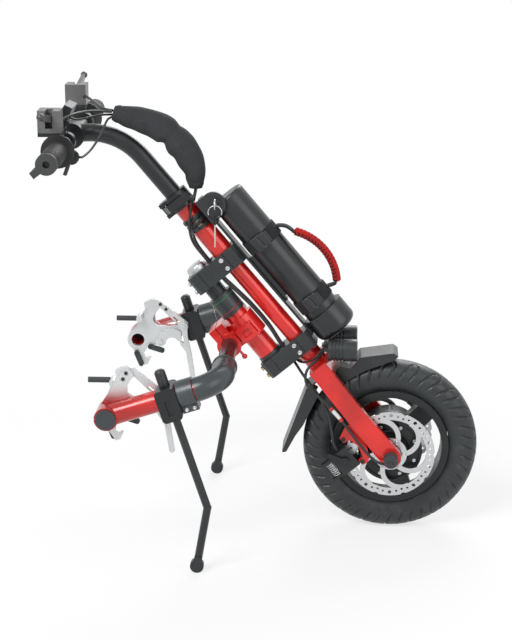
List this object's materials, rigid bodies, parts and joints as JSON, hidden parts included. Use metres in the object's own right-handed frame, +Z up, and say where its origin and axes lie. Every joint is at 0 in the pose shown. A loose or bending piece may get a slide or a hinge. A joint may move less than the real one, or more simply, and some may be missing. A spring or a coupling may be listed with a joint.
{
  "type": "wheelchair power assist",
  "caption": "Powered front-wheel attachment for a wheelchair: raked red column with hub motor wheel, disc brakes, battery, handlebar, docking arms with latching hooks and a fold-down stand.",
  "frame": {"origin": "On the floor, under the middle of the overall box.", "axes": "+X forward, towards the wheel; +Y to the left; +Z up."},
  "size_m": [0.7624, 0.566, 0.803],
  "materials": {
    "red_paint": "metallic gloss",
    "black_metal": "satin black",
    "black_steel": "satin black",
    "silver": "bead blasted",
    "steel": "brushed",
    "tyre": "matte",
    "rubber": "matte",
    "grip": "matte",
    "plastic": "matte",
    "gloss": "gloss",
    "copper": "wound copper",
    "cells": "wrapped cells",
    "neoprene": "neoprene",
    "webbing": "webbing",
    "paracord": "braided cord"
  },
  "bodies": {
    "dock": {"head_tube": "red_paint", "headset_bearings": "steel", "docking_bracket": "red_paint", "cross_tube": "black_steel", "dock_elbows": "black_metal", "dock_arms": "red_paint", "hook_plates": "silver", "hook_pads": "rubber", "stand_boxes": "black_metal"},
    "steering": {"axle": "steel", "motor_stator": "copper", "axle_caps": "rubber", "fork": "red_paint", "calipers": "black_metal", "column_tube": "red_paint", "column_clamps": "black_metal", "clamp_bolts": "steel", "spindle": "steel", "steering_damper": "black_metal", "fenders": "plastic", "headlights": "plastic", "battery_rail": "black_metal", "lock_housing": "plastic", "handlebar": "black_metal", "stem_collar": "black_metal", "grips": "grip", "brake_perches": "black_metal", "throttle_pod": "plastic", "display": "plastic", "cable_sleeve": "neoprene", "cables": "plastic"},
    "wheel": {"tyre": "tyre", "rim": "black_metal", "hub_covers": "black_metal", "hub_bearings": "steel", "brake_rotors": "steel", "rotor_bolts": "steel"},
    "battery": {"battery_case": "gloss", "battery_cells": "cells", "battery_straps": "webbing", "carry_handle": "paracord"},
    "caliper_arm_right": {"caliper_arm_right": "black_metal"},
    "caliper_arm_left": {"caliper_arm_left": "black_metal"},
    "stem_lever": {"stem_lever": "black_metal"},
    "brake_lever_right": {"brake_lever_right": "black_metal"},
    "brake_lever_left": {"brake_lever_left": "black_metal"},
    "throttle_paddle": {"throttle_paddle": "plastic"},
    "power_button": {"power_button": "plastic"},
    "key": {"key": "steel"},
    "key_ring": {"key_ring": "steel"},
    "jaw_right": {"jaw_right": "silver"},
    "jaw_left": {"jaw_left": "silver"},
    "release_lever_right": {"release_lever_right": "silver"},
    "release_lever_left": {"release_lever_left": "silver"},
    "stand_leg_right": {"stand_leg_right": "black_steel"},
    "stand_leg_left": {"stand_leg_left": "black_steel"},
    "stand_roller_right": {"stand_roller_right": "rubber"},
    "stand_roller_left": {"stand_roller_left": "rubber"},
    "stand_knob_right": {"stand_knob_right": "plastic"},
    "stand_knob_left": {"stand_knob_left": "plastic"}
  },
  "joints": [
    {"name": "steering_turn", "type": "hinge", "parent": "dock", "child": "steering", "pos_m": [-0.03216, 0, 0.36722], "axis": [-0.6428, 0, 0.766], "range_deg": [-35, 35]},
    {"name": "wheel_spin", "type": "hinge", "parent": "steering", "child": "wheel", "pos_m": [0.22219, 0, 0.159], "axis": [0, 1, 0], "continuous": true},
    {"name": "battery_lift", "type": "slide", "parent": "steering", "child": "battery", "axis": [-0.6428, 0, 0.766], "range_m": [0, 0.03]},
    {"name": "brake_right", "type": "hinge", "parent": "steering", "child": "brake_lever_right", "pos_m": [-0.36219, -0.156, 0.77844], "axis": [1, 0, 0], "range_deg": [0, 18], "stiffness_Nm_per_rad": 1.5, "springref_deg": -11.46},
    {"name": "brake_left", "type": "hinge", "parent": "steering", "child": "brake_lever_left", "pos_m": [-0.36219, 0.156, 0.77844], "axis": [-1, 0, 0], "range_deg": [0, 18], "stiffness_Nm_per_rad": 1.5, "springref_deg": -11.46},
    {"name": "caliper_right", "type": "hinge", "parent": "steering", "child": "caliper_arm_right", "pos_m": [0.14053, -0.086, 0.15053], "axis": [0, 1, 0], "range_deg": [0, 15]},
    {"name": "caliper_left", "type": "hinge", "parent": "steering", "child": "caliper_arm_left", "pos_m": [0.14053, 0.086, 0.15053], "axis": [0, 1, 0], "range_deg": [0, 15]},
    {"name": "throttle", "type": "hinge", "parent": "steering", "child": "throttle_paddle", "pos_m": [-0.32819, -0.155, 0.71344], "axis": [0, -1, 0], "range_deg": [0, 40], "stiffness_Nm_per_rad": 0.15, "springref_deg": -11.46},
    {"name": "power_press", "type": "slide", "parent": "steering", "child": "power_button", "axis": [0.9135, 0, -0.4067], "range_m": [0, 0.0012], "stiffness_N_per_m": 300, "springref_m": -0.001},
    {"name": "stem_release", "type": "hinge", "parent": "steering", "child": "stem_lever", "pos_m": [-0.18381, -0.009, 0.59152], "axis": [0.6428, 0, -0.766], "range_deg": [0, 100]},
    {"name": "key_turn", "type": "hinge", "parent": "steering", "child": "key", "pos_m": [-0.09318, -0.0563, 0.61418], "axis": [0, 1, 0], "range_deg": [0, 90]},
    {"name": "key_ring_swing", "type": "hinge", "parent": "key", "child": "key_ring", "pos_m": [-0.09318, -0.0563, 0.61418], "axis": [1, 0, 0], "range_deg": [-12, 15]},
    {"name": "release_right", "type": "hinge", "parent": "dock", "child": "release_lever_right", "pos_m": [-0.17586, -0.206, 0.31421], "axis": [0, -1, 0], "range_deg": [0, 60]},
    {"name": "jaw_right_turn", "type": "hinge", "parent": "dock", "child": "jaw_right", "pos_m": [-0.22086, -0.206, 0.28305], "axis": [0, -1, 0], "range_deg": [0, 20]},
    {"name": "stand_fold_right", "type": "hinge", "parent": "dock", "child": "stand_leg_right", "pos_m": [-0.15164, -0.238, 0.29236], "axis": [0, 1, 0], "range_deg": [0, 75]},
    {"name": "roller_right", "type": "hinge", "parent": "stand_leg_right", "child": "stand_roller_right", "pos_m": [-0.11468, -0.238, 0.012], "axis": [0, 1, 0], "continuous": true},
    {"name": "knob_right", "type": "slide", "parent": "dock", "child": "stand_knob_right", "axis": [-0.309, 0, 0.9511], "range_m": [0, 0.006], "stiffness_N_per_m": 600, "springref_m": -0.002},
    {"name": "release_left", "type": "hinge", "parent": "dock", "child": "release_lever_left", "pos_m": [-0.17586, 0.206, 0.31421], "axis": [0, -1, 0], "range_deg": [0, 60]},
    {"name": "jaw_left_turn", "type": "hinge", "parent": "dock", "child": "jaw_left", "pos_m": [-0.22086, 0.206, 0.28305], "axis": [0, -1, 0], "range_deg": [0, 20]},
    {"name": "stand_fold_left", "type": "hinge", "parent": "dock", "child": "stand_leg_left", "pos_m": [-0.15164, 0.238, 0.29236], "axis": [0, 1, 0], "range_deg": [0, 75]},
    {"name": "roller_left", "type": "hinge", "parent": "stand_leg_left", "child": "stand_roller_left", "pos_m": [-0.11468, 0.238, 0.012], "axis": [0, 1, 0], "continuous": true},
    {"name": "knob_left", "type": "slide", "parent": "dock", "child": "stand_knob_left", "axis": [-0.309, 0, 0.9511], "range_m": [0, 0.006], "stiffness_N_per_m": 600, "springref_m": -0.002}
  ],
  "couplings": [
    {"joint": "caliper_right", "follows": "brake_right", "ratio": 0.8},
    {"joint": "caliper_left", "follows": "brake_left", "ratio": 0.8},
    {"joint": "jaw_right_turn", "follows": "release_right", "ratio": 0.3333},
    {"joint": "jaw_left_turn", "follows": "release_left", "ratio": 0.3333}
  ]
}
